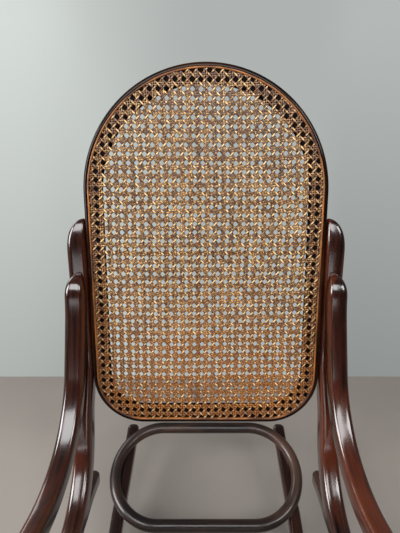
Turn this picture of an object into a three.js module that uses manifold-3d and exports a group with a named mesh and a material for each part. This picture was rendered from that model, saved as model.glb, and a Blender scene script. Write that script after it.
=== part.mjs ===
// Bentwood rocking chair: bent rods, caned back and seat, oval stretcher across the runners' tails.
// Millimetres. +Z is up, the front of the chair faces -Y, and the origin is the middle of the base.
import * as THREE from "three";
import { mergeGeometries, mergeVertices } from "three/addons/utils/BufferGeometryUtils.js";
import Module from "manifold-3d";

const wasm = await Module();
wasm.setup();

// Clearance between pieces that touch
const gap = 0.3;
// How far a cut runs past the face it opens
const overrun = 3;
// Shortest stretch of a route that counts
const shortestStretch = 0.5;
// Points closer than this are one point
const weldDistance = 1e-4;

// Rods: width is sideways, depth lies in the side plane
const postWidth = 31;
const postDepth = 33;
const postEdgeRadius = 8;
const armWidth = 30;
const armDepth = 30;
const armEdgeRadius = 8;
const runnerWidth = 32;
const runnerDepth = 30;
const runnerEdgeRadius = 8;
const runnerOffset = 16;
const tailTurnIn = 12;
const tailTurnLength = 240;
const returnTurnIn = 6;
const edgeSteps = 2;

// Depths are measured from the seat's rear edge, with + to the rear
// Runner: an arc with a short flat where the chair stands at rest
const restDepth = -64;
const rockerRadius = 1300;
const restFlatLength = 60;
const tailAngle = 26;
const frontCurlRadius = 190;
const upperCurlRadius = 105;
const frontReach = 496;
const railTailReach = 112;
const railTailLength = 50;
const railTailDroop = 12;
const tailTipLength = 18;

// Seat rail and post
const railHeight = 427;
const railSlope = 3;
const railHeelDepth = 84;
const heelRadius = 140;
const kneeDepth = 187;
const kneeHeight = 657;
const kneeRadius = 250;
const postTipHeight = 884;
const postTopLean = 11.4;
const postTipLength = 62;
const postTipInShare = 0.8;
const railCurlAngle = 62;
const railTipLength = 45;

// Arm
const armTipHeight = 806;
const armTipLength = 42;
const armTipInShare = 0.25;
const armKneeHeight = 752;
const armKneeRadius = 250;
const armDropLean = 22.8;
const armSweepHeight = 528;
const armSweepRadius = 163;
const armRise = 11;
const armFrontReach = 500;
const armFrontRadius = 70;
const armReturnHeight = 522;
const armReturnRadius = 65;
const armFootReach = 45;
const armFootLift = 8;
const armFootRadius = 140;
const armFootLength = 118;
const armFootTipLength = 50;
const armFlareEase = 1.3;

// Back panel: lies between the posts, leans away from the sitter
// Below it the posts spread to the seat's width
const backWidth = 378.5;
const backLength = 577;
const backLean = 14.3;
const backBottomHeight = 543;
const backSetForward = 29;
const backBottomRadius = 84;

// Seat panel: lies between the seat rails
const seatWidth = 387.5;
const seatLength = 432;
const seatFrontRadius = 72;
const seatRearRadius = 95;
const seatLift = 5;
const spreadStart = 250;
const spreadLength = 90;

// Section of both panel frames
const frameWidth = 27;
const frameThickness = 22;
const frameEdge = 4;
const rimWidth = 6.5;
const rimCrown = 1.2;
const grooveWidth = 3.2;
const grooveDepth = 5;
const ledgeDrop = 1.6;
const splineCrown = 1;

// Cane sheet: a net whose openings stand for groups of the half-inch cane's holes
const caneThickness = 1.2;
const netPitch = 31;
const netHole = 20;
const netMargin = 3;

// Stretchers
const hoopWidth = 488;
const hoopLength = 246;
const hoopDiameter = 30;
const hoopAngle = 19.75;
const hoopSaddle = 10;
const barDiameter = 25;
const barEndDiameter = 19;
const barTenonDiameter = 15;
const barTenonLength = 15;
const barHeight = 272;
const barRingDiameter = 29;
const barRingWidth = 10;

// Wood screws
const screwHeadDiameter = 9;
const screwHeadHeight = 3.2;
const screwSink = 0.6;
const screwShankDiameter = 4.6;
const screwPointLength = 7;
const screwBite = 20;
const screwSlotWidth = 1.2;
const screwSlotDepth = 1.1;
const screwSides = 8;

// Places of the screws, measured along the piece they go through
const backScrewReaches = [128, 262];
const seatScrewDepths = [-112, -330];
const runnerScrewDepths = [-52, -262];
const armTipScrewHeight = 762;
const armFootScrewReach = 98;

// Facets: degrees or millimetres between rings
const wideBendStep = 3.6;
const tightBendStep = 11;
const tightBendRadius = 400;
const ringRoom = 13;
const panelBendStep = 10;
const hoopBendStep = 12;
const tubeSides = 12;
const tipRings = 4;
const tipFirstAngle = 24;
const crossingSteps = 400;

const degrees = Math.PI / 180;
const postSide = backWidth / 2 + gap + postWidth / 2;
const railSide = seatWidth / 2 + gap + postWidth / 2;
const armSide = railSide + postWidth / 2 + gap + armWidth / 2;
const runnerSide = railSide + runnerOffset;
const floorToCentre = runnerDepth / 2;

// Materials

function wood(color, roughness) {
  return new THREE.MeshStandardMaterial({ color, roughness, metalness: 0 });
}

const rodWood = () => wood(0x4a2014, 0.28);
const hoopWood = () => wood(0x2b211e, 0.4);
const frameWood = () => wood(0x42241a, 0.35);
const caneFibre = () => wood(0xb08a55, 0.6);
const splineFibre = () => wood(0xb0793a, 0.5);
const screwSteel = () =>
  new THREE.MeshStandardMaterial({ color: 0x5b544c, roughness: 0.45, metalness: 0.9 });

// Solids

function solidOf(geometry) {
  const bare = geometry.clone();
  bare.deleteAttribute("normal");
  bare.deleteAttribute("uv");
  const merged = mergeVertices(bare, weldDistance);
  return new wasm.Manifold(
    new wasm.Mesh({
      numProp: 3,
      vertProperties: merged.attributes.position.array,
      triVerts: new Uint32Array(merged.index.array),
    }),
  );
}

function geometryOf(solid) {
  const mesh = solid.getMesh();
  const geometry = new THREE.BufferGeometry();
  geometry.setAttribute("position", new THREE.BufferAttribute(mesh.vertProperties, 3));
  geometry.setIndex(new THREE.BufferAttribute(mesh.triVerts, 1));
  geometry.computeVertexNormals();
  return geometry;
}

function carved(geometry, cutters) {
  let solid = solidOf(geometry);
  for (const cutter of cutters) {
    solid = solid.subtract(solidOf(cutter));
  }
  return geometryOf(solid);
}

// The same geometry on the other side of the chair's middle plane
function mirrored(geometry) {
  const copy = geometry.clone().applyMatrix4(new THREE.Matrix4().makeScale(-1, 1, 1));
  const order = copy.index.array;
  for (let i = 0; i < order.length; i += 3) {
    [order[i + 1], order[i + 2]] = [order[i + 2], order[i + 1]];
  }
  copy.computeVertexNormals();
  return copy;
}

// Routes: a path of straight stretches and bends in one plane

function addBends(path, stops) {
  stops.slice(0, -1).forEach(({ at, bend }, i) => {
    const back = path.currentPoint.clone().sub(at).normalize();
    const ahead = stops[i + 1].at.clone().sub(at).normalize();
    const half = Math.acos(THREE.MathUtils.clamp(back.dot(ahead), -1, 1)) / 2;
    const reach = bend / Math.tan(half);
    const inward = back.clone().add(ahead).normalize();
    const centre = at.clone().addScaledVector(inward, bend / Math.sin(half));
    const bendStart = at.clone().addScaledVector(back, reach);
    const start = bendStart.clone().sub(centre);
    const end = at.clone().addScaledVector(ahead, reach).sub(centre);
    const clockwise = back.cross(ahead) > 0;
    path.lineTo(bendStart.x, bendStart.y);
    path.absarc(centre.x, centre.y, bend, start.angle(), end.angle(), clockwise);
  });
  const last = stops[stops.length - 1].at;
  path.lineTo(last.x, last.y);
  return path;
}

function stop(x, y, bend = 0) {
  return { at: new THREE.Vector2(x, y), bend };
}

// Stretches of a path with their lengths, without those of no length
function stretchesOf(path) {
  let from = 0;
  return path.curves
    .filter((curve) => curve.getLength() > shortestStretch)
    .map((curve) => {
      const stretch = { curve, from, length: curve.getLength() };
      from += stretch.length;
      return stretch;
    });
}

function bendAngle(curve) {
  const turn = curve.getTangent(0).angleTo(curve.getTangent(1));
  const middle = curve.getTangent(0).angleTo(curve.getTangent(0.5));
  return Math.max(turn, 2 * middle) / degrees;
}

// Distances along a path at which a piece that follows it has a ring
function ringDistances(stretches, stepOf, extra) {
  const all = [...extra];
  for (const { curve, from, length } of stretches) {
    const steps = curve.isLineCurve ? 1 : Math.ceil(bendAngle(curve) / stepOf(curve));
    for (let i = 0; i <= steps; i += 1) {
      all.push(from + (length * i) / steps);
    }
  }
  all.sort((a, b) => a - b);
  return all;
}

// Keeps the tip rings and drops other rings that crowd them
function spaced(distances, kept, room) {
  const isKept = (d) => kept.some((k) => Math.abs(k - d) < shortestStretch);
  const out = [];
  for (const d of distances) {
    const last = out[out.length - 1];
    if (out.length && d - last < room) {
      if (isKept(d) && !isKept(last)) {
        out[out.length - 1] = d;
      } else if (isKept(d) && d - last > shortestStretch) {
        out.push(d);
      }
      continue;
    }
    out.push(d);
  }
  return out;
}

function placeAt(stretches, distance) {
  const spot = stretches.find((s) => distance <= s.from + s.length) ?? stretches[stretches.length - 1];
  const share = THREE.MathUtils.clamp((distance - spot.from) / spot.length, 0, 1);
  return { point: spot.curve.getPointAt(share), tangent: spot.curve.getTangentAt(share) };
}

// Sections, as points counterclockwise round the route's direction

function roundedSection(width, depth, radius) {
  const points = [];
  const quarter = Math.PI / 2;
  for (let corner = 0; corner < 4; corner += 1) {
    const diagonal = (corner + 1 / 2) * quarter;
    const centre = new THREE.Vector2(
      Math.sign(Math.cos(diagonal)) * (width / 2 - radius),
      Math.sign(Math.sin(diagonal)) * (depth / 2 - radius),
    );
    for (let i = 0; i <= edgeSteps; i += 1) {
      const angle = (corner + i / edgeSteps) * quarter;
      points.push(new THREE.Vector2(Math.cos(angle), Math.sin(angle)).multiplyScalar(radius).add(centre));
    }
  }
  return points;
}

function roundSection(diameter) {
  return Array.from({ length: tubeSides }, (_, i) => {
    const angle = (2 * Math.PI * i) / tubeSides;
    return new THREE.Vector2(Math.cos(angle), Math.sin(angle)).multiplyScalar(diameter / 2);
  });
}

// Skin through rings of equal count, closed on itself or by a flat cap at each end
function skin(rings, closed) {
  const count = rings[0].length;
  const positions = rings.flat().flatMap((p) => [p.x, p.y, p.z]);
  const order = [];
  const spans = closed ? rings.length : rings.length - 1;
  for (let r = 0; r < spans; r += 1) {
    const here = r * count;
    const next = ((r + 1) % rings.length) * count;
    for (let i = 0; i < count; i += 1) {
      const j = (i + 1) % count;
      order.push(here + i, here + j, next + j, here + i, next + j, next + i);
    }
  }
  if (!closed) {
    const last = (rings.length - 1) * count;
    for (let i = 1; i < count - 1; i += 1) {
      order.push(0, i + 1, i, last, last + i, last + i + 1);
    }
  }
  const geometry = new THREE.BufferGeometry();
  geometry.setAttribute("position", new THREE.Float32BufferAttribute(positions, 3));
  geometry.setIndex(order);
  geometry.computeVertexNormals();
  return geometry;
}

// Share of the full section at a distance from a rounded tip
function tipShare(distance, tipLength) {
  const short = Math.max(0, 1 - distance / tipLength);
  return Math.sqrt(1 - short * short);
}

function tipDistances(tipLength) {
  return Array.from({ length: tipRings + 1 }, (_, i) => {
    const angle = (tipFirstAngle + ((90 - tipFirstAngle) * i) / tipRings) * degrees;
    return tipLength * (1 - Math.cos(angle));
  });
}

// A bent rod in a side plane with a rounded tip at each end. sideAt gives x along the route.
// tipShift is how far the first tip's middle lies off the route, in the section's own axes.
function bentRod({ path, section, startTip, endTip, sideAt, tipShift = new THREE.Vector2(), extra = [] }) {
  const stretches = stretchesOf(path);
  const total = stretches[stretches.length - 1].from + stretches[stretches.length - 1].length;
  const starts = tipDistances(startTip);
  const ends = tipDistances(endTip).map((d) => total - d);
  const kept = [...starts, ...ends, ...extra];
  const stepOf = (curve) => (curve.xRadius > tightBendRadius ? wideBendStep : tightBendStep);
  const first = starts[0];
  const last = ends[0];
  const distances = ringDistances(stretches, stepOf, kept).filter((d) => d >= first && d <= last);
  const rings = spaced(distances, kept, ringRoom).map((d) => {
    const { point, tangent } = placeAt(stretches, d);
    const startShare = tipShare(d, startTip);
    const share = Math.min(startShare, tipShare(total - d, endTip));
    const side = sideAt(d, total);
    return section.map((p) => {
      const spot = p.clone().multiplyScalar(share).addScaledVector(tipShift, 1 - startShare);
      return new THREE.Vector3(side + spot.x, point.x + tangent.y * spot.y, point.y - tangent.x * spot.y);
    });
  });
  return skin(rings, false);
}

// Side plane points: x is the depth, y the height

function onRocker(angle, lift = 0) {
  const reach = rockerRadius - lift;
  return new THREE.Vector2(
    restDepth + Math.sin(angle * degrees) * reach,
    floorToCentre + rockerRadius - Math.cos(angle * degrees) * reach,
  );
}

const railFall = Math.tan(railSlope * degrees);
const railHeightAt = (depth) => railHeight - railFall * (depth - railHeelDepth);
const stackSpacing = (postDepth + runnerDepth) / 2 + gap;
const returnHeightAt = (depth) => railHeightAt(depth) - stackSpacing / Math.cos(railSlope * degrees);

// The front curl touches the rocker's arc and the upright line of the runner's front
const frontAngle =
  Math.asin((frontReach - frontCurlRadius + restDepth) / (rockerRadius - frontCurlRadius)) / degrees;

function runnerPath() {
  const path = new THREE.Path();
  const flatHalf = Math.asin(restFlatLength / 2 / rockerRadius);
  const start = onRocker(tailAngle);
  const frontEnd = onRocker(-frontAngle);
  const centreHeight = floorToCentre + rockerRadius;
  const down = -Math.PI / 2;
  path.moveTo(start.x, start.y);
  path.absarc(restDepth, centreHeight, rockerRadius, down + tailAngle * degrees, down + flatHalf, true);
  path.absarc(restDepth, centreHeight, rockerRadius, down - flatHalf, down - frontAngle * degrees, true);
  const cornerRise = (frontReach + frontEnd.x) * Math.tan(frontAngle * degrees);
  const droop = Math.tan(railTailDroop * degrees) * railTailLength;
  return addBends(path, [
    stop(-frontReach, frontEnd.y + cornerRise, frontCurlRadius),
    stop(-frontReach, returnHeightAt(-frontReach), upperCurlRadius),
    stop(railTailReach, returnHeightAt(railTailReach), heelRadius),
    stop(railTailReach + railTailLength, returnHeightAt(railTailReach + railTailLength) - droop),
  ]);
}

// The runner's tail turns in towards its tip, and so does its return under the seat rail
const tailSideAt = (distance) => runnerSide - tailTurnIn * Math.max(0, 1 - distance / tailTurnLength);

function runnerRod(clearance = 0) {
  const path = runnerPath();
  const stretches = stretchesOf(path);
  const returnStart = stretches.findLast((s) => s.curve.isLineCurve && s.length > tailTurnLength).from;
  const section = roundedSection(
    runnerWidth + 2 * clearance,
    runnerDepth + 2 * clearance,
    runnerEdgeRadius + clearance,
  );
  return bentRod({
    path,
    section,
    startTip: tailTipLength,
    endTip: tailTipLength,
    sideAt: (distance, total) =>
      tailSideAt(distance) - (returnTurnIn * Math.max(0, distance - returnStart)) / (total - returnStart),
    extra: [tailTurnLength],
  });
}

function postLineAt(height) {
  return kneeDepth + (height - kneeHeight) * Math.tan(postTopLean * degrees);
}

// The rail's front end follows the runner's upper curl at the stack's spacing
const railCurlRadius = upperCurlRadius + stackSpacing;
const railCurlTangent = railCurlRadius * Math.tan(((90 + railSlope) / 2) * degrees);
const railCurlStart = railCurlTangent * Math.cos(railSlope * degrees) - frontReach - stackSpacing;

function postPath() {
  const path = new THREE.Path();
  path.moveTo(postLineAt(postTipHeight), postTipHeight);
  addBends(path, [
    stop(kneeDepth, kneeHeight, kneeRadius),
    stop(railHeelDepth, railHeight, heelRadius),
    stop(railCurlStart, railHeightAt(railCurlStart)),
  ]);
  const across = railCurlStart - Math.sin(railSlope * degrees) * railCurlRadius;
  const height = railHeightAt(railCurlStart) - Math.cos(railSlope * degrees) * railCurlRadius;
  const from = (90 - railSlope) * degrees;
  path.absarc(across, height, railCurlRadius, from, from + railCurlAngle * degrees, false);
  return path;
}

function postRod() {
  return bentRod({
    path: postPath(),
    section: roundedSection(postWidth, postDepth, postEdgeRadius),
    startTip: postTipLength,
    endTip: railTipLength,
    sideAt: (distance) => {
      const share = THREE.MathUtils.clamp((distance - spreadStart) / spreadLength, 0, 1);
      return THREE.MathUtils.lerp(postSide, railSide, share);
    },
    tipShift: new THREE.Vector2((-postTipInShare * postWidth) / 2, 0),
    extra: [spreadStart, spreadStart + spreadLength],
  });
}

// The arm's rear end lies on the front of the post, so its line is the post's, moved forward
const armLapSpacing = (postDepth + armDepth) / 2 + gap;
const armLineAt = (height) => postLineAt(height) - armLapSpacing / Math.cos(postTopLean * degrees);

function armStops() {
  const kneeX = armLineAt(armKneeHeight);
  const sweepX = kneeX - (armKneeHeight - armSweepHeight) * Math.tan(armDropLean * degrees);
  const frontHeight = armSweepHeight + (sweepX + armFrontReach) * Math.tan(armRise * degrees);
  const footStart = onRocker(armFootReach / rockerRadius / degrees, armFootLift);
  const footEnd = onRocker((armFootReach + armFootLength) / rockerRadius / degrees, armFootLift);
  return [
    stop(kneeX, armKneeHeight, armKneeRadius),
    stop(sweepX, armSweepHeight, armSweepRadius),
    stop(-armFrontReach, frontHeight, armFrontRadius),
    stop(-armFrontReach, armReturnHeight, armReturnRadius),
    stop(footStart.x, footStart.y, armFootRadius),
    stop(footEnd.x, footEnd.y),
  ];
}

function armPath() {
  const path = new THREE.Path();
  path.moveTo(armLineAt(armTipHeight), armTipHeight);
  return addBends(path, armStops());
}

// The arm leaves the post in line with it and has moved out past the seat rail at its front bend.
// Its rear face stays flat against the post up to the tip.
function armRod() {
  const path = armPath();
  const stretches = stretchesOf(path);
  const lapEnd = stretches[0].length;
  const flareEnd = stretches.find((s) => !s.curve.isLineCurve && s.curve.xRadius === armFrontRadius).from;
  const sideAt = (distance) => {
    const share = THREE.MathUtils.clamp((distance - lapEnd) / (flareEnd - lapEnd), 0, 1);
    return THREE.MathUtils.lerp(postSide, armSide, share ** armFlareEase);
  };
  return bentRod({
    path,
    section: roundedSection(armWidth, armDepth, armEdgeRadius),
    startTip: armTipLength,
    endTip: armFootTipLength,
    sideAt,
    tipShift: new THREE.Vector2(-armTipInShare * armWidth, -armDepth).divideScalar(2),
    extra: [lapEnd, flareEnd],
  });
}

// Panels: frame, spline and cane share one outline, drawn from the near end to the far end

function outline(width, length, nearRadius, farRadius, inset = 0) {
  const half = width / 2 - inset;
  const path = new THREE.Path();
  path.moveTo(0, inset);
  return addBends(path, [
    stop(half, inset, nearRadius - inset),
    stop(half, length - inset, farRadius - inset),
    stop(-half, length - inset, farRadius - inset),
    stop(-half, inset, nearRadius - inset),
    stop(0, inset),
  ]);
}

function loopPlaces(path, bendStep) {
  const stretches = stretchesOf(path);
  const distances = spaced(ringDistances(stretches, () => bendStep, []), [], shortestStretch);
  distances.pop();
  return distances.map((d) => placeAt(stretches, d));
}

// Section points are (outward, towards the sitter) from the outline's edge and the front face
function loopAlong(path, bendStep, section) {
  const clockwise = section.toReversed();
  const rings = loopPlaces(path, bendStep).map(({ point, tangent }) =>
    clockwise.map(
      (p) => new THREE.Vector3(point.x + tangent.y * p.x, point.y - tangent.x * p.x, p.y),
    ),
  );
  return skin(rings, true);
}

function frameSection() {
  const ledge = rimWidth + grooveWidth;
  return [
    [0, -frameThickness + frameEdge],
    [0, -frameEdge],
    [-frameEdge / 2, -rimCrown],
    [-frameEdge, 0],
    [-rimWidth, 0],
    [-rimWidth, -grooveDepth],
    [-ledge, -grooveDepth],
    [-ledge, -ledgeDrop],
    [-frameWidth + rimCrown, -ledgeDrop],
    [-frameWidth, -ledgeDrop - rimCrown],
    [-frameWidth, -frameThickness + frameEdge],
    [-frameWidth + frameEdge, -frameThickness],
    [-frameEdge, -frameThickness],
  ].map(([x, y]) => new THREE.Vector2(x, y));
}

function splineSection() {
  const outer = -rimWidth - gap;
  const inner = -rimWidth - grooveWidth + gap;
  const middle = (outer + inner) / 2;
  return [
    [outer, -grooveDepth + gap],
    [outer, 0],
    [middle, splineCrown],
    [inner, 0],
    [inner, -grooveDepth + gap],
  ].map(([x, y]) => new THREE.Vector2(x, y));
}

// Cane sheet: a thin net that lies on the frame's ledge and spans its opening
function caneSheet(sizes) {
  const [width, length, nearRadius, farRadius] = sizes;
  const edge = loopPlaces(outline(...sizes, rimWidth + grooveWidth + gap), panelBendStep);
  const shape = new THREE.Shape(edge.map(({ point }) => point));
  const sheet = new THREE.ExtrudeGeometry(shape, { depth: caneThickness, bevelEnabled: false });
  const clear = frameWidth + netMargin;
  const border = loopPlaces(outline(width, length, nearRadius, farRadius, clear), panelBendStep);
  const loop = border.map(({ point }) => point);
  const sideColumns = Math.floor((width / 2 - clear - netHole / 2) / netPitch);
  const rows = Math.floor((length - 2 * clear + netPitch - netHole) / netPitch);
  const firstRow = (length - (rows - 1) * netPitch) / 2;
  const openings = [];
  for (let column = -sideColumns; column <= sideColumns; column += 1) {
    for (let row = 0; row < rows; row += 1) {
      const middle = new THREE.Vector2(column * netPitch, firstRow + row * netPitch);
      if (openingCorners(middle).every((corner) => insideLoop(corner, loop))) {
        const opening = new THREE.BoxGeometry(netHole, netHole, overrun * 2);
        openings.push(opening.translate(middle.x, middle.y, 0));
      }
    }
  }
  return carved(sheet, [mergeGeometries(openings)]).translate(0, 0, gap - ledgeDrop);
}

function openingCorners(middle) {
  const half = netHole / 2;
  return [-half, half].flatMap((x) => [-half, half].map((y) => new THREE.Vector2(x, y).add(middle)));
}

function insideLoop(point, loop) {
  let inside = false;
  loop.forEach((a, i) => {
    const b = loop[(i + 1) % loop.length];
    const crosses = a.y > point.y !== b.y > point.y;
    if (crosses && point.x < a.x + ((b.x - a.x) * (point.y - a.y)) / (b.y - a.y)) {
      inside = !inside;
    }
  });
  return inside;
}

// The panel's near edge lies this far in front of the posts' upper line
const backBottomDepth = postLineAt(backBottomHeight) - backSetForward;
const backSizes = [backWidth, backLength, backBottomRadius, backWidth / 2];
const seatSizes = [seatWidth, seatLength, seatFrontRadius, seatRearRadius];

// Where each panel's own frame lies in the chair: x across, y from near end to far end, z its front
function panelMatrix(origin, slope) {
  return new THREE.Matrix4().makeRotationX(slope * degrees).setPosition(origin);
}

const backMatrix = panelMatrix(new THREE.Vector3(0, backBottomDepth, backBottomHeight), 90 - backLean);
const seatNear = -seatLength * Math.cos(railSlope * degrees);
const seatMatrix = panelMatrix(
  new THREE.Vector3(0, seatNear, railHeightAt(seatNear) + seatLift + frameThickness / 2),
  -railSlope,
);

function panelPieces(sizes, matrix) {
  const path = outline(...sizes);
  return {
    frame: loopAlong(path, panelBendStep, frameSection()).applyMatrix4(matrix),
    spline: loopAlong(path, panelBendStep, splineSection()).applyMatrix4(matrix),
    cane: caneSheet(sizes).applyMatrix4(matrix),
  };
}

// Oval hoop: lies in saddles cut across the runners' tails
const hoopEndRadius = hoopLength / 2;
const sideOnTail = (angle) => tailSideAt((tailAngle - angle) * degrees * rockerRadius);
const hoopEndCentre = hoopWidth / 2 - hoopEndRadius;
const hoopCrossing = Math.sqrt(hoopEndRadius ** 2 - (sideOnTail(hoopAngle) - hoopEndCentre) ** 2);
const hoopSag = rockerRadius - Math.sqrt(rockerRadius ** 2 - hoopCrossing ** 2);
const hoopLift = runnerDepth / 2 + hoopDiameter / 2 - hoopSaddle + hoopSag;

function hoopMatrix() {
  const middle = onRocker(hoopAngle, hoopLift);
  return panelMatrix(new THREE.Vector3(0, middle.x, middle.y), hoopAngle);
}

function hoopRod(clearance = 0) {
  const path = outline(hoopWidth, hoopLength, hoopEndRadius, hoopEndRadius);
  const hoop = loopAlong(path, hoopBendStep, roundSection(hoopDiameter + 2 * clearance));
  return hoop.translate(0, -hoopEndRadius, 0).applyMatrix4(hoopMatrix());
}

// Front bar: turned, with a tenon at each end that enters the runner
function frontBar() {
  const half = runnerSide - runnerWidth / 2 - gap;
  const tip = half + barTenonLength;
  const profile = [
    [0, -tip],
    [barTenonDiameter / 2, -tip],
    [barTenonDiameter / 2, -half],
    [barEndDiameter / 2, -half],
    [barDiameter / 2, -barRingWidth],
    [barRingDiameter / 2, -barRingWidth / 2],
    [barRingDiameter / 2, barRingWidth / 2],
    [barDiameter / 2, barRingWidth],
    [barEndDiameter / 2, half],
    [barTenonDiameter / 2, half],
    [barTenonDiameter / 2, tip],
    [0, tip],
  ].map(([x, y]) => new THREE.Vector2(x, y));
  const bar = new THREE.LatheGeometry(profile, tubeSides).rotateZ(-Math.PI / 2);
  return bar.translate(0, -frontReach, barHeight);
}

function tenonSocket() {
  const length = barTenonLength + gap + overrun;
  const socket = new THREE.CylinderGeometry(
    barTenonDiameter / 2 + gap,
    barTenonDiameter / 2 + gap,
    length,
    tubeSides,
  ).rotateZ(-Math.PI / 2);
  const inner = runnerSide - runnerWidth / 2;
  return socket.translate(inner - overrun + length / 2, -frontReach, barHeight);
}

// Wood screws: each starts at a face and goes along a direction, sunk a little under the face

function turned(profile) {
  return new THREE.LatheGeometry(
    profile.map(([x, y]) => new THREE.Vector2(x, y)),
    screwSides,
  );
}

function aimed(geometry, { at, along }) {
  const turn = new THREE.Quaternion().setFromUnitVectors(new THREE.Vector3(0, -1, 0), along);
  return geometry.applyQuaternion(turn).translate(at.x, at.y, at.z);
}

function screw(place) {
  const head = screwHeadDiameter / 2;
  const shank = screwShankDiameter / 2;
  const top = -screwSink;
  const body = turned([
    [0, -place.length],
    [shank, -place.length + screwPointLength],
    [shank, top - screwHeadHeight],
    [head, top],
    [0, top],
  ]);
  const slot = new THREE.BoxGeometry(screwHeadDiameter + overrun, 2 * screwSlotDepth, screwSlotWidth);
  return aimed(carved(body, [slot.translate(0, top, 0)]), place);
}

function screwHole(place) {
  const head = screwHeadDiameter / 2 + gap;
  const shank = screwShankDiameter / 2 + gap;
  const hole = turned([
    [0, -place.length - gap],
    [gap, -place.length - gap],
    [shank, -place.length + screwPointLength - gap],
    [shank, -screwSink - screwHeadHeight - gap],
    [head, -screwSink],
    [head, overrun],
    [0, overrun],
  ]);
  return aimed(hole, place);
}

const inwards = new THREE.Vector3(-1, 0, 0);

function armTipScrew() {
  const lean = postTopLean * degrees;
  const along = new THREE.Vector3(0, -Math.cos(lean), Math.sin(lean));
  const centre = new THREE.Vector3(postSide, postLineAt(armTipScrewHeight), armTipScrewHeight);
  return {
    name: "arm_tip_screw",
    at: centre.addScaledVector(along, -postDepth / 2),
    along,
    length: postDepth + gap + screwBite,
    holds: ["post", "arm"],
  };
}

function backScrews() {
  return backScrewReaches.map((reach, i) => {
    const at = new THREE.Vector3(0, reach, -frameThickness / 2).applyMatrix4(backMatrix);
    return {
      name: `back_screw_${i + 1}`,
      at: at.setX(postSide + postWidth / 2),
      along: inwards,
      length: postWidth + gap + screwBite,
      holds: ["post", "back"],
    };
  });
}

function seatScrews() {
  return seatScrewDepths.map((depth, i) => ({
    name: `seat_screw_${i + 1}`,
    at: new THREE.Vector3(railSide + postWidth / 2, depth, railHeightAt(depth) + seatLift),
    along: inwards,
    length: postWidth + gap + screwBite,
    holds: ["post", "seat"],
  }));
}

function railScrews() {
  const slope = railSlope * degrees;
  const along = new THREE.Vector3(0, Math.sin(slope), Math.cos(slope));
  return runnerScrewDepths.map((depth, i) => ({
    name: `rail_screw_${i + 1}`,
    at: new THREE.Vector3((railSide + runnerSide) / 2, depth, returnHeightAt(depth)).addScaledVector(
      along,
      -runnerDepth / 2,
    ),
    along,
    length: runnerDepth + gap + screwBite,
    holds: ["runner", "post"],
  }));
}

// Where two routes cross, seen from the side
function crossing(path, otherPath) {
  const others = otherPath.getSpacedPoints(crossingSteps);
  let nearest = Infinity;
  let spot;
  for (const point of path.getSpacedPoints(crossingSteps)) {
    for (const other of others) {
      const distance = point.distanceTo(other);
      if (distance < nearest) {
        nearest = distance;
        spot = point.clone().lerp(other, 1 / 2);
      }
    }
  }
  return spot;
}

// The arm's return crosses the outer face of the seat rail
function armRailScrew() {
  const spot = crossing(armPath(), postPath());
  return {
    name: "arm_rail_screw",
    at: new THREE.Vector3(armSide + armWidth / 2, spot.x, spot.y),
    along: inwards,
    length: armWidth + gap + screwBite,
    holds: ["arm", "post"],
  };
}

function armFootScrew() {
  const spot = onRocker(armFootScrewReach / rockerRadius / degrees, armFootLift / 2);
  return {
    name: "arm_foot_screw",
    at: new THREE.Vector3(armSide + armWidth / 2, spot.x, spot.y),
    along: inwards,
    length: armWidth + screwBite / 2,
    holds: ["arm", "runner"],
  };
}

function hoopScrews() {
  return [-hoopCrossing, hoopCrossing].map((shift, i) => {
    const angle = hoopAngle + Math.asin(shift / rockerRadius) / degrees;
    const spot = onRocker(angle, -runnerDepth / 2);
    return {
      name: `hoop_screw_${i + 1}`,
      at: new THREE.Vector3(sideOnTail(angle), spot.x, spot.y),
      along: new THREE.Vector3(0, -Math.sin(angle * degrees), Math.cos(angle * degrees)),
      length: runnerDepth - hoopSaddle + screwBite,
      holds: ["runner", "hoop"],
    };
  });
}

const screwPlaces = [
  armTipScrew(),
  ...backScrews(),
  ...seatScrews(),
  ...railScrews(),
  armRailScrew(),
  armFootScrew(),
  ...hoopScrews(),
];

const holesIn = (piece) => screwPlaces.filter((place) => place.holds.includes(piece)).map(screwHole);
const bothSides = (geometries) => [...geometries, ...geometries.map(mirrored)];

// Pieces of one side, made for +X
const sidePieces = {
  post_and_seat_rail: carved(postRod(), holesIn("post")),
  arm_rod: carved(armRod(), [runnerRod(gap), ...holesIn("arm")]),
  runner: carved(runnerRod(), [hoopRod(gap), tenonSocket(), ...holesIn("runner")]),
};

const back = panelPieces(backSizes, backMatrix);
const seat = panelPieces(seatSizes, seatMatrix);

const chair = new THREE.Group();
const placed = new THREE.Group();
chair.add(placed);

function addPiece(name, geometry, material) {
  const mesh = new THREE.Mesh(geometry, material);
  mesh.name = name;
  placed.add(mesh);
}

for (const [name, geometry] of Object.entries(sidePieces)) {
  addPiece(`right_${name}`, geometry, rodWood());
  addPiece(`left_${name}`, mirrored(geometry), rodWood());
}
for (const place of screwPlaces) {
  const geometry = screw(place);
  addPiece(`right_${place.name}`, geometry, screwSteel());
  addPiece(`left_${place.name}`, mirrored(geometry), screwSteel());
}
addPiece("back_frame", carved(back.frame, bothSides(holesIn("back"))), frameWood());
addPiece("back_spline", back.spline, splineFibre());
addPiece("back_cane", back.cane, caneFibre());
addPiece("seat_frame", carved(seat.frame, bothSides(holesIn("seat"))), frameWood());
addPiece("seat_spline", seat.spline, splineFibre());
addPiece("seat_cane", seat.cane, caneFibre());
addPiece("hoop_stretcher", carved(hoopRod(), bothSides(holesIn("hoop"))), hoopWood());
addPiece("front_stretcher", frontBar(), rodWood());

// The middle of the base becomes the origin
const extent = new THREE.Box3().setFromObject(placed);
const base = extent.getCenter(new THREE.Vector3()).setZ(extent.min.z);
placed.position.copy(base).negate();

export default chair;
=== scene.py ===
import math
import random

import bpy
import numpy as np
from mathutils import Matrix, Vector


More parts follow.
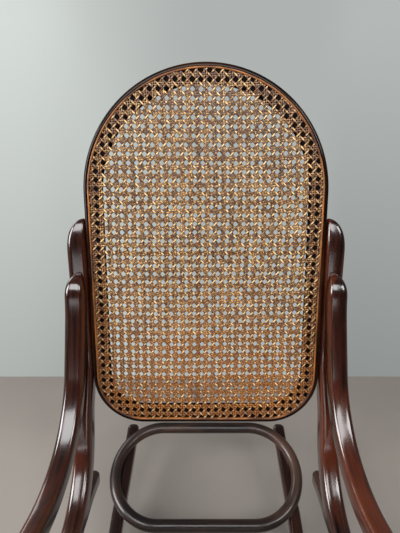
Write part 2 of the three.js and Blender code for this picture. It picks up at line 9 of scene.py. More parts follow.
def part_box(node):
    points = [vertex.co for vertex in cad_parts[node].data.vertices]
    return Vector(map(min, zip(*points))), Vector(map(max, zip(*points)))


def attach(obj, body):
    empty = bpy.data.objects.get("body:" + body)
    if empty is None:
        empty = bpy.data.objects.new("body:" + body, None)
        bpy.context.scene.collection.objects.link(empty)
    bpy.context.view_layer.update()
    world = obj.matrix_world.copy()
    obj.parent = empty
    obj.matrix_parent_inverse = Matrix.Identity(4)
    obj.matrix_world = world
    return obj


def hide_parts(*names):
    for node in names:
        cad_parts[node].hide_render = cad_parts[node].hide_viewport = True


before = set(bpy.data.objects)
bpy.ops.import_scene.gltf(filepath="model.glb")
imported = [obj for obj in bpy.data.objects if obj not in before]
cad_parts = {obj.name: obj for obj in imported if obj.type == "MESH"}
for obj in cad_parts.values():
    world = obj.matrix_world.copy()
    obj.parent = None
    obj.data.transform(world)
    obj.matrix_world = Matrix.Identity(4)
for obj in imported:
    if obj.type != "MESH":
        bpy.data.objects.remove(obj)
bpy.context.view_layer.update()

# The looks of the bentwood rocking chair. Shapes are worked out in millimetres, as in the part's
# source, and become metres when their mesh is made. Side routes are (depth, height), + to the rear.
MM = 0.001

# Rods
POST_WIDTH, POST_DEPTH, POST_EDGE = 31, 33, 8
ARM_WIDTH, ARM_DEPTH, ARM_EDGE = 30, 30, 8
RUNNER_WIDTH, RUNNER_DEPTH, RUNNER_EDGE = 32, 30, 8
RUNNER_OFFSET = 16
TAIL_TURN_IN, TAIL_TURN_LENGTH, RETURN_TURN_IN = 12, 240, 6
GAP = 0.3
TINY = 1e-9

# Runner
REST_DEPTH, ROCKER_RADIUS, REST_FLAT = -64, 1300, 60
TAIL_ANGLE = 26
FRONT_CURL, UPPER_CURL, FRONT_REACH = 190, 105, 496
RAIL_TAIL_REACH, RAIL_TAIL_LENGTH, RAIL_TAIL_DROOP = 112, 50, 12
TAIL_TIP = 18

# Seat rail and post
RAIL_HEIGHT, RAIL_SLOPE, RAIL_HEEL_DEPTH, HEEL_RADIUS = 427, 3, 84, 140
KNEE_DEPTH, KNEE_HEIGHT, KNEE_RADIUS = 187, 657, 250
POST_TIP_HEIGHT, POST_TOP_LEAN, POST_TIP = 884, 11.4, 62
POST_TIP_IN_SHARE = 0.8
RAIL_CURL_ANGLE, RAIL_TIP = 62, 45

# Arm
ARM_TIP_HEIGHT, ARM_TIP, ARM_TIP_IN_SHARE = 806, 42, 0.25
ARM_KNEE_HEIGHT, ARM_KNEE_RADIUS, ARM_DROP_LEAN = 752, 250, 22.8
ARM_SWEEP_HEIGHT, ARM_SWEEP_RADIUS, ARM_RISE = 528, 163, 11
ARM_FRONT_REACH, ARM_FRONT_RADIUS = 500, 70
ARM_RETURN_HEIGHT, ARM_RETURN_RADIUS = 522, 65
ARM_FOOT_REACH, ARM_FOOT_LIFT, ARM_FOOT_RADIUS = 45, 8, 140
ARM_FOOT_LENGTH, ARM_FOOT_TIP = 118, 50
ARM_FLARE_EASE = 1.3

# Panels
BACK_WIDTH, BACK_LENGTH, BACK_LEAN = 378.5, 577, 14.3
BACK_BOTTOM_HEIGHT, BACK_SET_FORWARD, BACK_BOTTOM_RADIUS = 543, 29, 84
SEAT_WIDTH, SEAT_LENGTH, SEAT_FRONT_RADIUS, SEAT_REAR_RADIUS = 387.5, 432, 72, 95
SEAT_LIFT = 5
SPREAD_START, SPREAD_LENGTH = 250, 90
FRAME_WIDTH, FRAME_THICKNESS, FRAME_EDGE = 27, 22, 4
RIM_WIDTH, RIM_CROWN = 6.5, 1.2
FRAME_ROUND, FRAME_FINE_ROUND, FINE_STEPS = 5.2, 0.6, 3
GROOVE_WIDTH, GROOVE_DEPTH, LEDGE_DROP, SPLINE_CROWN = 3.2, 5, 1.6, 1
SPLINE_POINTS, SPLINE_STEP = 9, 3

# Stretchers
HOOP_WIDTH, HOOP_LENGTH, HOOP_DIAMETER, HOOP_ANGLE, HOOP_SADDLE = 488, 246, 30, 19.75, 10
BAR_DIAMETER, BAR_END, BAR_TENON, BAR_TENON_LENGTH = 25, 19, 15, 15
BAR_HEIGHT, BAR_RING, BAR_RING_WIDTH, BAR_RING_MARGIN = 272, 29, 10, 1
BAR_SWELL, BAR_END_BEVEL, TENON_BEVEL = 0.8, 0.6, 0.5
BAR_POINTS, RING_POINTS, BAR_SIDES, HOOP_SIDES = 24, 9, 48, 28

# Wood screws
HEAD_DIAMETER, HEAD_HEIGHT, HEAD_SINK = 9, 3.2, 0.6
SHANK_DIAMETER, SCREW_POINT, SCREW_BITE = 4.6, 7, 20
SLOT_WIDTH, SLOT_DEPTH, SLOT_OVERRUN = 1.2, 1.1, 1
SCREW_SIDES = 32
POCKET_SIDE_GAP, POCKET_END_GAP, POCKET_OVERRUN = 0.15, 0.6, 3
# Profiles: shares of the shank and the point, (outward, upward) from the head's rim, and
# (share of the head's radius, upward) over its dome
POINT_PROFILE = ((0, 0), (0.5, 0.6), (1, 1))
HEAD_RIM = ((-0.1, -0.35), (0, -0.15), (-0.2, 0))
HEAD_DOME = ((0.55, 0.14), (0, 0.18))
BACK_SCREW_REACHES = (128, 262)
SEAT_SCREW_DEPTHS = (-112, -330)
RUNNER_SCREW_DEPTHS = (-52, -262)
ARM_TIP_SCREW_HEIGHT = 762
ARM_FOOT_SCREW_REACH = 98

# Cane: a six-way weave, two strands up, two across and one along each diagonal
PITCH_ACROSS, PITCH_ALONG = 12.6, 13.2
FIRST_ROW = 5.8
PAIR_HALF = 1.5
STRAND_WIDTH, STRAND_HALF_THICKNESS = 2.45, 0.27
DIAGONAL_WIDTH = 2.8
WEAVE_RISE, DIAGONAL_RISE = 0.3, 0.5
CANE_LEVEL = -0.85
STRAND_EDGE_DROP, STRAND_CROWN_SHARE = 0.06, 0.35
# Steps along a strand, in pitches, and the fewest points that one may have
PAIR_STEP, DIAGONAL_STEP, STEP_MARGIN = 1 / 7, 1 / 14, 0.01
FEWEST_POINTS, FEWEST_ON_DIAGONAL = 4, 20
# What varies from strand to strand
STRAND_WANDER, STRAND_SWELL, TINT_SPREAD = 0.26, (0.9, 1.08), 0.8
COLUMN_TONE, ROW_TONE, UP_TONE, DOWN_TONE = 0.3, 0.2, 0.0, 0.05
# How the whole net drifts: heights and lengths of its waves, across and along
LONG_DRIFT, SHORT_DRIFT = (1.5, 1.6), (0.7, 0.6)
LONG_WAVE, SHORT_WAVE, CROSS_WAVE = (95, 88), (41, 37), (130, 150)
DRIFT_PHASES = 6
BACK_SEED, SEAT_SEED, SCREW_SEED = 5, 8, 11

# Meshing
RING_STEP = 5
TIP_RINGS = 14
TIP_FIRST_ANGLE = math.radians(24)
TIP_FULLNESS = 2.6
CORNER_STEPS, CORNER_ARC_STEPS = 6, 5
FACE_STEPS, FACE_FROM = 4, 0.5
FACE_CROWN = 0.045
SHORTEST = 0.5
ROUTE_SAMPLES = 401
MIRROR_GRAIN_SHIFT = 3.7

post_side = BACK_WIDTH / 2 + GAP + POST_WIDTH / 2
rail_side = SEAT_WIDTH / 2 + GAP + POST_WIDTH / 2
arm_side = rail_side + POST_WIDTH / 2 + GAP + ARM_WIDTH / 2
runner_side = rail_side + RUNNER_OFFSET
floor_to_centre = RUNNER_DEPTH / 2
stack_spacing = (POST_DEPTH + RUNNER_DEPTH) / 2 + GAP

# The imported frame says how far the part's source moved the chair to put its base at the origin
runner_low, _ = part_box("right_runner")
rest_rise = ROCKER_RADIUS - math.sqrt(ROCKER_RADIUS ** 2 - (REST_FLAT / 2) ** 2)
SHIFT = np.array([
    0, runner_low.y + (FRONT_REACH + RUNNER_DEPTH / 2) * MM, runner_low.z - rest_rise * MM
])


# Routes: stretches of line and arc in one plane

def unit(v):
    return v / np.hypot(*v)


def polar(angle):
    return np.array([math.cos(angle), math.sin(angle)])


def line(a, b):
    length = float(np.hypot(*(b - a)))
    way = (b - a) / max(length, TINY)
    return {"length": length, "radius": 0, "at": lambda s: (a + way * s, way)}


def arc(centre, radius, start, end):
    turn = end - start
    side = math.copysign(1, turn)

    def at(s):
        angle = start + side * s / radius
        return centre + radius * polar(angle), side * polar(angle + math.pi / 2)

    return {
        "length": abs(turn) * radius,
        "radius": radius,
        "end": centre + radius * polar(end),
        "at": at,
    }


def bends(here, stops):
    """Stretches from here past the stops (x, y, bend radius), each corner rounded by its radius."""
    out = []
    for (x, y, radius), after in zip(stops[:-1], stops[1:]):
        at = np.array([x, y], float)
        back, ahead = unit(here - at), unit(np.array(after[:2], float) - at)
        half = math.acos(float(np.clip(back @ ahead, -1, 1))) / 2
        reach = radius / math.tan(half)
        centre = at + unit(back + ahead) * radius / math.sin(half)
        first, last = at + back * reach - centre, at + ahead * reach - centre
        start = math.atan2(first[1], first[0])
        turn = (math.atan2(last[1], last[0]) - start + math.pi) % (2 * math.pi) - math.pi
        out += [line(here, centre + first), arc(centre, radius, start, start + turn)]
        here = centre + last
    out.append(line(here, np.array(stops[-1][:2], float)))
    return out


def route_of(stretches):
    """Drops stretches of no length and adds where each starts."""
    out, start = [], 0.0
    for s in stretches:
        if s["length"] > SHORTEST:
            out.append({**s, "from": start})
            start += s["length"]
    return out


def length_of(route):
    return route[-1]["from"] + route[-1]["length"]


def places(route, distances):
    """Points and directions at distances along a route."""
    points, ways = [], []
    for d in distances:
        spot = next((s for s in route if d <= s["from"] + s["length"]), route[-1])
        point, way = spot["at"](min(max(d - spot["from"], 0), spot["length"]))
        points.append(point)
        ways.append(way)
    return np.array(points), np.array(ways)


# Meshes

def plain_mesh(name, vertices, faces):
    mesh = bpy.data.meshes.new(name)
    mesh.from_pydata(vertices, [], faces)
    return mesh


def make_mesh(name, vertices, faces, corners=None, points=None):
    """vertices in mm in the source's frame. corners: one 'grain' vector per face corner. points:
    named vectors, one per vertex."""
    mesh = plain_mesh(name, (vertices * MM + SHIFT).tolist(), faces)
    if corners is not None:
        layer = mesh.attributes.new("grain", "FLOAT_VECTOR", "CORNER")
        layer.data.foreach_set("vector", (np.asarray(corners) * MM).astype(np.float32).ravel())
    for key, values in (points or {}).items():
        layer = mesh.attributes.new(key, "FLOAT_VECTOR", "POINT")
        layer.data.foreach_set("vector", values.astype(np.float32).ravel())
    mesh.shade_smooth()
    mesh.update()
    return mesh


def ring_quads(rows, count, closed=False):
    """Faces between rings of equal count, and the row, column and next column of each."""
    row = np.arange(rows if closed else rows - 1)[:, None]
    column = np.arange(count)[None, :]
    start, after, beside = row * count, (row + 1) % rows * count, (column + 1) % count
    quads = np.stack([start + column, start + beside, after + beside, after + column], -1)
    return quads.reshape(-1, 4), row, column, beside


def skin_mesh(name, rings, grain, closed, poles=None):
    """A tube through rings of equal count. grain has one more row than rings where it is closed."""
    rows, count = rings.shape[:2]
    quads, row, column, beside = ring_quads(rows, count, closed)
    marks = np.stack(
        [grain[row, column], grain[row, beside], grain[row + 1, beside], grain[row + 1, column]], 2
    ).reshape(-1, 3)
    vertices = rings.reshape(-1, 3)
    faces = quads.tolist()
    marks = marks.tolist()
    if poles is not None:
        vertices = np.vstack([vertices, [poles[0][0], poles[1][0]]])
        total = rows * count
        for i in range(count):
            j = (i + 1) % count
            faces.append([total, j, i])
            marks += [poles[0][1].tolist(), grain[0, j].tolist(), grain[0, i].tolist()]
            top = (rows - 1) * count
            faces.append([total + 1, top + i, top + j])
            marks += [poles[1][1].tolist(), grain[-1, i].tolist(), grain[-1, j].tolist()]
    a, b, c, d = (vertices[quads[:, k]] for k in range(4))
    volume = (a * np.cross(b, c)).sum() + (a * np.cross(c, d)).sum()
    mesh = make_mesh(name, vertices, faces, marks)
    if volume < 0:
        mesh.flip_normals()
    return mesh


def rounded_section(width, depth, radius):
    out = []
    for corner in range(4):
        middle = (corner + 0.5) * math.pi / 2
        centre = np.array([
            math.copysign(width / 2 - radius, math.cos(middle)),
            math.copysign(depth / 2 - radius, math.sin(middle)),
        ])
        for i in range(CORNER_STEPS + 1):
            out.append(centre + radius * polar((corner + i / CORNER_STEPS) * math.pi / 2))
    # The faces between the rounded edges are a little crowned, as hand-scraped rods are
    full = []
    for here, after in zip(out, out[1:] + out[:1]):
        steps = FACE_STEPS if np.hypot(*(after - here)) > radius * FACE_FROM else 1
        full += [here + (after - here) * i / steps for i in range(steps)]
    points = np.array(full)
    half = np.array([width / 2, depth / 2])
    return points * (1 - FACE_CROWN * (points[:, ::-1] / half[::-1]) ** 2)


def rod_mesh(name, route, section, start_tip, end_tip, side_at, tip_shift=(0, 0)):
    """A bent rod whose ends are rounded inside the source's blunt ones. tip_shift moves the first
    tip."""
    total = length_of(route)
    cut_start, cut_end = (tip * (1 - math.cos(TIP_FIRST_ANGLE)) for tip in (start_tip, end_tip))
    turns = 1 - np.cos(np.arange(1, TIP_RINGS + 1) / TIP_RINGS * math.pi / 2)
    heads = cut_start + (start_tip - cut_start) * turns
    feet = total - cut_end - (end_tip - cut_end) * turns
    steps = max(2, round((feet[-1] - heads[-1]) / RING_STEP))
    between = np.linspace(heads[-1], feet[-1], steps + 1)[1:-1]
    distances = np.concatenate([heads, between, feet[::-1]])

    def share(distance, tip, cut):
        left = np.clip(1 - (distance - cut) / (tip - cut), 0, 1)
        return np.sqrt(1 - left ** TIP_FULLNESS)

    start_shares = share(distances, start_tip, cut_start)
    shares = np.minimum(start_shares, share(total - distances, end_tip, cut_end))
    points, ways = places(route, distances)
    sides = np.array([side_at(d, total) for d in distances])
    moved = np.array(tip_shift, float)
    shifts = moved * (1 - start_shares)[:, None]
    across = section[None, :, :] * shares[:, None, None] + shifts[:, None, :]
    rings = np.stack([
        sides[:, None] + across[..., 0],
        points[:, 0, None] + ways[:, 1, None] * across[..., 1],
        points[:, 1, None] - ways[:, 0, None] * across[..., 1],
    ], -1)
    along = np.broadcast_to(distances[:, None], across.shape[:2])
    grain = np.stack([along, across[..., 0], across[..., 1]], -1)
    ends = []
    for d, (dx, dy) in ((cut_start, moved), (total - cut_end, (0.0, 0.0))):
        (point,), (way,) = places(route, [d])
        spot = (side_at(d, total) + dx, point[0] + way[1] * dy, point[1] - way[0] * dy)
        ends.append((np.array(spot), np.array([d, dx, dy])))
    return skin_mesh(name, rings, grain, False, ends)


def loop_mesh(name, route, section, matrix, step=RING_STEP):
    """A closed piece along a panel's outline. Section points are (outward, towards the sitter)."""
    total = length_of(route)
    count = round(total / step)
    distances = np.arange(count) * total / count
    points, ways = places(route, distances)
    normals = np.stack([ways[:, 1], -ways[:, 0]], -1)
    flat = points[:, None, :] + normals[:, None, :] * section[None, :, 0, None]
    height = np.broadcast_to(section[None, :, 1], flat.shape[:2])
    rings = in_chair(np.concatenate([flat, height[..., None]], -1), matrix)
    along = np.arange(count + 1) * total / count
    parts = np.broadcast_arrays(along[:, None], section[None, :, 0], section[None, :, 1])
    grain = np.stack(parts, -1)
    return skin_mesh(name, rings, grain, True)


def panel_matrix(origin, slope):
    return Matrix.Translation(Vector(origin)) @ Matrix.Rotation(math.radians(slope), 4, "X")


def in_chair(points, matrix):
    m = np.array(matrix)
    return points @ m[:3, :3].T + m[:3, 3]


def lathe(profile, sides):
    """Vertices and faces of a profile (radius, height) turned about z. Ends on the axis are
    points."""
    vertices, rows = [], []
    for radius, height in profile:
        if radius == 0:
            rows.append([len(vertices)] * sides)
            vertices.append((0, 0, height))
            continue
        rows.append(list(range(len(vertices), len(vertices) + sides)))
        for i in range(sides):
            angle = 2 * math.pi * i / sides
            vertices.append((radius * math.cos(angle), radius * math.sin(angle), height))
    faces = []
    for low, high in zip(rows[:-1], rows[1:]):
        for i in range(sides):
            j = (i + 1) % sides
            # On the axis two corners are the same point, which a face may hold only once
            faces.append(list(dict.fromkeys((low[i], low[j], high[j], high[i]))))
    return np.array(vertices, float), faces


# Side routes

def on_rocker(angle, lift):
    reach = ROCKER_RADIUS - lift
    a = math.radians(angle)
    return np.array([
        REST_DEPTH + math.sin(a) * reach,
        floor_to_centre + ROCKER_RADIUS - math.cos(a) * reach,
    ])


def rail_height_at(depth):
    return RAIL_HEIGHT - math.tan(math.radians(RAIL_SLOPE)) * (depth - RAIL_HEEL_DEPTH)


def return_height_at(depth):
    return rail_height_at(depth) - stack_spacing / math.cos(math.radians(RAIL_SLOPE))


def post_line_at(height):
    return KNEE_DEPTH + (height - KNEE_HEIGHT) * math.tan(math.radians(POST_TOP_LEAN))


def runner_route():
    centre = np.array([REST_DEPTH, floor_to_centre + ROCKER_RADIUS])
    flat = math.asin(REST_FLAT / 2 / ROCKER_RADIUS)
    down = -math.pi / 2
    inner = ROCKER_RADIUS - FRONT_CURL
    front = math.asin((FRONT_REACH - FRONT_CURL + REST_DEPTH) / inner)
    rear_arc = arc(centre, ROCKER_RADIUS, down + math.radians(TAIL_ANGLE), down + flat)
    front_arc = arc(centre, ROCKER_RADIUS, down - flat, down - front)
    start = centre + ROCKER_RADIUS * polar(down - flat)
    front_end = front_arc["end"]
    corner = front_end[1] + (FRONT_REACH + front_end[0]) * math.tan(front)
    end = RAIL_TAIL_REACH + RAIL_TAIL_LENGTH
    droop = math.tan(math.radians(RAIL_TAIL_DROOP)) * RAIL_TAIL_LENGTH
    rest = bends(front_end, [
        (-FRONT_REACH, corner, FRONT_CURL),
        (-FRONT_REACH, return_height_at(-FRONT_REACH), UPPER_CURL),
        (RAIL_TAIL_REACH, return_height_at(RAIL_TAIL_REACH), HEEL_RADIUS),
        (end, return_height_at(end) - droop),
    ])
    return route_of([rear_arc, line(rear_arc["end"], start), front_arc, *rest])


def tail_side_at(distance):
    return runner_side - TAIL_TURN_IN * max(0, 1 - distance / TAIL_TURN_LENGTH)


def post_route():
    slope = math.radians(RAIL_SLOPE)
    radius = UPPER_CURL + stack_spacing
    tangent = radius * math.tan((math.pi / 2 + slope) / 2)
    start = tangent * math.cos(slope) - FRONT_REACH - stack_spacing
    rest = bends(np.array([post_line_at(POST_TIP_HEIGHT), POST_TIP_HEIGHT]), [
        (KNEE_DEPTH, KNEE_HEIGHT, KNEE_RADIUS),
        (RAIL_HEEL_DEPTH, RAIL_HEIGHT, HEEL_RADIUS),
        (start, rail_height_at(start)),
    ])
    first = math.pi / 2 - slope
    centre = np.array([
        start - math.sin(slope) * radius, rail_height_at(start) - math.cos(slope) * radius
    ])
    return route_of([*rest, arc(centre, radius, first, first + math.radians(RAIL_CURL_ANGLE))])


def arm_route():
    lap = (POST_DEPTH + ARM_DEPTH) / 2 + GAP

    def line_at(height):
        return post_line_at(height) - lap / math.cos(math.radians(POST_TOP_LEAN))

    knee = line_at(ARM_KNEE_HEIGHT)
    sweep = knee - (ARM_KNEE_HEIGHT - ARM_SWEEP_HEIGHT) * math.tan(math.radians(ARM_DROP_LEAN))
    front = ARM_SWEEP_HEIGHT + (sweep + ARM_FRONT_REACH) * math.tan(math.radians(ARM_RISE))
    foot = [
        on_rocker(math.degrees(reach / ROCKER_RADIUS), ARM_FOOT_LIFT)
        for reach in (ARM_FOOT_REACH, ARM_FOOT_REACH + ARM_FOOT_LENGTH)
    ]
    return route_of(bends(np.array([line_at(ARM_TIP_HEIGHT), ARM_TIP_HEIGHT]), [
        (knee, ARM_KNEE_HEIGHT, ARM_KNEE_RADIUS),
        (sweep, ARM_SWEEP_HEIGHT, ARM_SWEEP_RADIUS),
        (-ARM_FRONT_REACH, front, ARM_FRONT_RADIUS),
        (-ARM_FRONT_REACH, ARM_RETURN_HEIGHT, ARM_RETURN_RADIUS),
        (*foot[0], ARM_FOOT_RADIUS),
        tuple(foot[1]),
    ]))


def eased(value, start, end):
    return min(max((value - start) / (end - start), 0), 1)


def post_mesh():
    def side(distance, _):
        share = eased(distance, SPREAD_START, SPREAD_START + SPREAD_LENGTH)
        return post_side + (rail_side - post_side) * share

    section = rounded_section(POST_WIDTH, POST_DEPTH, POST_EDGE)
    shift = (-POST_TIP_IN_SHARE * POST_WIDTH / 2, 0)
    return rod_mesh("right_post", post_route(), section, POST_TIP, RAIL_TIP, side, shift)


def arm_mesh():
    route = arm_route()
    lap_end = route[0]["length"]
    flare_end = next(s["from"] for s in route if s["radius"] == ARM_FRONT_RADIUS)

    def side(distance, _):
        share = eased(distance, lap_end, flare_end) ** ARM_FLARE_EASE
        return post_side + (arm_side - post_side) * share

    section = rounded_section(ARM_WIDTH, ARM_DEPTH, ARM_EDGE)
    shift = (-ARM_TIP_IN_SHARE * ARM_WIDTH / 2, -ARM_DEPTH / 2)
    return rod_mesh("right_arm", route, section, ARM_TIP, ARM_FOOT_TIP, side, shift)


def runner_mesh(clearance=0.0):
    route = runner_route()
    straight = [s for s in route if not s["radius"] and s["length"] > TAIL_TURN_LENGTH]
    return_start = straight[-1]["from"]

    def side(distance, total):
        turned = RETURN_TURN_IN * max(0, distance - return_start) / (total - return_start)
        return tail_side_at(distance) - turned

    section = rounded_section(
        RUNNER_WIDTH + 2 * clearance, RUNNER_DEPTH + 2 * clearance, RUNNER_EDGE + clearance
    )
    return rod_mesh("right_runner", route, section, TAIL_TIP, TAIL_TIP, side)


# Panels

def outline(width, length, near_radius, far_radius):
    half = width / 2
    return route_of(bends(np.zeros(2), [
        (half, 0, near_radius),
        (half, length, far_radius),
        (-half, length, far_radius),
        (-half, 0, near_radius),
        (0, 0),
    ]))


def corner_arc(centre, radius, first, last, steps=CORNER_ARC_STEPS):
    """Points of a rounded corner, angles in degrees."""
    angles = np.radians(np.linspace(first, last, steps + 1))
    return [(centre[0] + radius * math.cos(a), centre[1] + radius * math.sin(a)) for a in angles]


def frame_section():
    ledge = RIM_WIDTH + GROOVE_WIDTH
    outer, fine, edge, crown = FRAME_ROUND, FRAME_FINE_ROUND, FRAME_EDGE, RIM_CROWN
    return np.array([
        *corner_arc((-outer, -FRAME_THICKNESS + outer), outer, 270, 360),
        *corner_arc((-outer, -outer), outer, 0, 90),
        *corner_arc((-RIM_WIDTH + fine, -fine), fine, 90, 180, FINE_STEPS),
        (-RIM_WIDTH, -GROOVE_DEPTH),
        (-ledge, -GROOVE_DEPTH),
        *corner_arc((-ledge - fine, -LEDGE_DROP - fine), fine, 0, 90, FINE_STEPS),
        *corner_arc((-FRAME_WIDTH + crown, -LEDGE_DROP - crown), crown, 90, 180, FINE_STEPS),
        *corner_arc((-FRAME_WIDTH + edge, -FRAME_THICKNESS + edge), edge, 180, 270),
    ])


def spline_section():
    outer, inner = -RIM_WIDTH - GAP, -RIM_WIDTH - GROOVE_WIDTH + GAP
    middle, half = (outer + inner) / 2, (outer - inner) / 2
    top = [
        (middle + half * math.cos(a), SPLINE_CROWN * math.sin(a))
        for a in np.linspace(0, math.pi, SPLINE_POINTS)
    ]
    return np.array([(outer, GAP - GROOVE_DEPTH), *top, (inner, GAP - GROOVE_DEPTH)])


back_sizes = (BACK_WIDTH, BACK_LENGTH, BACK_BOTTOM_RADIUS, BACK_WIDTH / 2)
seat_sizes = (SEAT_WIDTH, SEAT_LENGTH, SEAT_FRONT_RADIUS, SEAT_REAR_RADIUS)
back_depth = post_line_at(BACK_BOTTOM_HEIGHT) - BACK_SET_FORWARD
back_matrix = panel_matrix((0, back_depth, BACK_BOTTOM_HEIGHT), 90 - BACK_LEAN)
seat_near = -SEAT_LENGTH * math.cos(math.radians(RAIL_SLOPE))
seat_matrix = panel_matrix(
    (0, seat_near, rail_height_at(seat_near) + SEAT_LIFT + FRAME_THICKNESS / 2), -RAIL_SLOPE
)


# Cane weave

def outline_field(sizes, inset):
    """Signed distance inside a panel's outline, positive inside."""
    width, length, near, far = sizes
    half, high, low = width / 2 - inset, length - inset, inset
    near, far = near - inset, far - inset

    def inside(u, v):
        u = np.abs(u)
        flat = np.minimum(half - u, np.minimum(v - low, high - v))
        out = flat
        for radius, level, sign in ((near, low + near, -1), (far, high - far, 1)):
            du, dv = u - (half - radius), sign * (v - level)
            corner = (du > 0) & (dv > 0)
            out = np.where(corner, radius - np.hypot(np.maximum(du, 0), np.maximum(dv, 0)), out)
        return out

    return inside


def runs_inside(mask):
    """Start and end of each run of true values."""
    edges = np.flatnonzero(np.diff(np.concatenate([[0], mask.astype(int), [0]])))
    return list(zip(edges[::2], edges[1::2]))


class Weave:
    """The strands of one panel, gathered by direction into a few meshes."""

    def __init__(self, sizes, matrix, seed):
        self.sizes, self.matrix = sizes, matrix
        self.inside = outline_field(sizes, RIM_WIDTH + GROOVE_WIDTH / 2)
        self.random = random.Random(seed)
        self.phases = [self.random.uniform(0, 2 * math.pi) for _ in range(DRIFT_PHASES)]

    def drift(self, u, v):
        """Old cane isn't straight: the whole net wanders a little."""
        def wave(way, here, beside):
            long, short = self.phases[2 * way:2 * way + 2]
            slow = LONG_DRIFT[way] * np.sin(here / LONG_WAVE[way] + long)
            cross = beside / CROSS_WAVE[way]
            return slow + SHORT_DRIFT[way] * np.sin(here / SHORT_WAVE[way] + cross + short)

        return u + wave(0, v, u), v + wave(1, u, v)

    def strands(self, name, lines, width, tone):
        """lines: (u, v, rise) arrays of one strand each. Flat strands with a crowned face."""
        vertices, faces, marks, reliefs = [], [], [], []
        base = 0
        for u, v, rise in lines:
            wander = self.random.uniform(-STRAND_WANDER, STRAND_WANDER)
            tint = tone + TINT_SPREAD * self.random.random()
            swell = self.random.uniform(*STRAND_SWELL)
            u, v = self.drift(u, v)
            for first, last in runs_inside(self.inside(u, v) > 0):
                if last - first < FEWEST_POINTS:
                    continue
                p = np.stack([u[first:last], v[first:last]], -1)
                way = np.gradient(p, axis=0)
                way /= np.linalg.norm(way, axis=1)[:, None]
                side = np.stack([way[:, 1], -way[:, 0]], -1)
                p = p + side * wander
                z = rise[first:last] + CANE_LEVEL
                along = np.concatenate([[0], np.cumsum(np.hypot(*np.diff(p, axis=0).T))])
                half = side * width * swell / 2
                crown, edge = half * STRAND_CROWN_SHARE, z - STRAND_EDGE_DROP
                face, back = z + STRAND_HALF_THICKNESS, z - STRAND_HALF_THICKNESS
                section = ((half, edge), (crown, face), (-crown, face), (-half, edge), (0, back))
                ring = np.stack([np.column_stack([p + out, level]) for out, level in section], 1)
                rows, count = ring.shape[:2]
                quads = ring_quads(rows, count)[0] + base
                faces += quads[:, ::-1].tolist()
                faces.append(list(range(base, base + count)))
                faces.append(list(range(base + (rows - 1) * count, base + rows * count))[::-1])
                vertices.append(ring.reshape(-1, 3))
                marks.append(np.stack([
                    np.repeat(along * MM, count),
                    np.full(rows * count, tint),
                    np.tile([1.0, 0.0, 0.0, 1.0, 0.0], rows),
                ], -1))
                reliefs.append(np.repeat(rise[first:last] / (2 * DIAGONAL_RISE) + 0.5, count))
                base += rows * count
        vertices = np.vstack(vertices)
        u, v = vertices[:, 0], vertices[:, 1]
        depth = np.maximum(outline_field(self.sizes, RIM_WIDTH + GROOVE_WIDTH)(u, v), 0)
        place = np.stack([np.concatenate(reliefs), v / self.sizes[1], depth * MM], -1)
        points = {"strand": np.vstack(marks), "panel": place}
        return make_mesh(name, in_chair(vertices, self.matrix), faces, points=points)

    def columns(self):
        count = int(self.sizes[0] / 2 / PITCH_ACROSS) + 1
        steps = np.arange(-0.5, self.sizes[1] / PITCH_ALONG + 1, PAIR_STEP)
        v = FIRST_ROW + (steps - 0.5) * PITCH_ALONG
        for i in range(-count, count + 1):
            for side in (-1, 1):
                u = np.full_like(v, i * PITCH_ACROSS + side * PAIR_HALF)
                yield u, v, side * self.cross_wave(steps - 0.5)

    def rows_across(self):
        count = int(self.sizes[1] / PITCH_ALONG) + 2
        half = int(self.sizes[0] / 2 / PITCH_ACROSS) + 1
        steps = np.arange(-half, half + STEP_MARGIN, PAIR_STEP)
        u = steps * PITCH_ACROSS
        for j in range(-1, count):
            for side in (-1, 1):
                v = np.full_like(u, FIRST_ROW + j * PITCH_ALONG + side * PAIR_HALF)
                yield u, v, -side * self.cross_wave(steps)

    @staticmethod
    def cross_wave(steps):
        """Height along a strand that passes over one of a pair and under the other at each
        crossing."""
        near = (steps + 0.5) % 1 - 0.5
        reach = PAIR_HALF / PITCH_ACROSS
        return WEAVE_RISE * np.sin(np.clip(near / reach, -2, 2) * math.pi / 2)

    def diagonals(self, sign):
        wide = int(self.sizes[0] / 2 / PITCH_ACROSS) + 2
        tall = int(self.sizes[1] / PITCH_ALONG) + 3
        span = 2 * wide + tall
        for k in range(-span, span + 1):
            across = np.arange(-wide, wide + STEP_MARGIN, DIAGONAL_STEP)
            up = sign * across + k + 0.5
            keep = (up > -2) & (up < tall + 1)
            if keep.sum() < FEWEST_ON_DIAGONAL:
                continue
            across, up = across[keep], up[keep]
            u, v = across * PITCH_ACROSS, FIRST_ROW + up * PITCH_ALONG
            # At whole numbers across it crosses a column, half way on it crosses a row
            yield u, v, sign * DIAGONAL_RISE * np.cos(2 * math.pi * across)


# Materials

COAT_IOR = 1.8
EDGE_WEAR, ROUGHNESS_RANGE = 0.55, 0.16
# Between these heights, in metres, the rods turn darker towards the floor
LOW_DARK_HEIGHTS = (0.43, 0.36)


